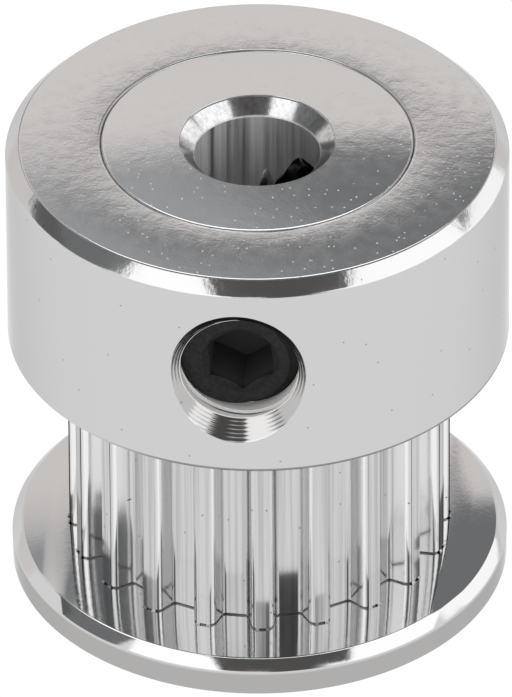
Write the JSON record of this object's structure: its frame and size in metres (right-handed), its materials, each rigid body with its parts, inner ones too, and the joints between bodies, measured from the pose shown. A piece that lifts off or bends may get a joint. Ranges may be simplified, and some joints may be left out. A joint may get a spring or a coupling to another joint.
{
  "type": "timing belt pulley",
  "caption": "Small aluminium timing belt pulley: toothed track with an end flange, and a plain hub clamped to its shaft by socket set screws.",
  "frame": {"origin": "the middle of the end flange's outer face, on the bore's axis", "axes": "+Z along the bore from the end flange to the hub; the front set screw points out along -Y"},
  "size_m": [0.016, 0.016, 0.016],
  "materials": {
    "turned_aluminium_core": "fine turned and hobbed, bright",
    "turned_aluminium_hub": "fine turned, satin",
    "polished_aluminium_flange": "polished",
    "black_oxide_steel": "black oxide"
  },
  "bodies": {
    "pulley": {"toothed_core": "turned_aluminium_core", "hub_collar": "turned_aluminium_hub", "end_flange": "polished_aluminium_flange"},
    "screw_front": {"set_screw_front": "black_oxide_steel"},
    "screw_rear": {"set_screw_rear": "black_oxide_steel"}
  },
  "joints": [
    {"name": "front_screw_travel", "type": "slide", "parent": "pulley", "child": "screw_front", "axis": [0, -1, 0], "range_m": [-0.0014, 0.0028]},
    {"name": "rear_screw_travel", "type": "slide", "parent": "pulley", "child": "screw_rear", "axis": [0.866, 0.5, 0], "range_m": [-0.0014, 0.0028]}
  ]
}
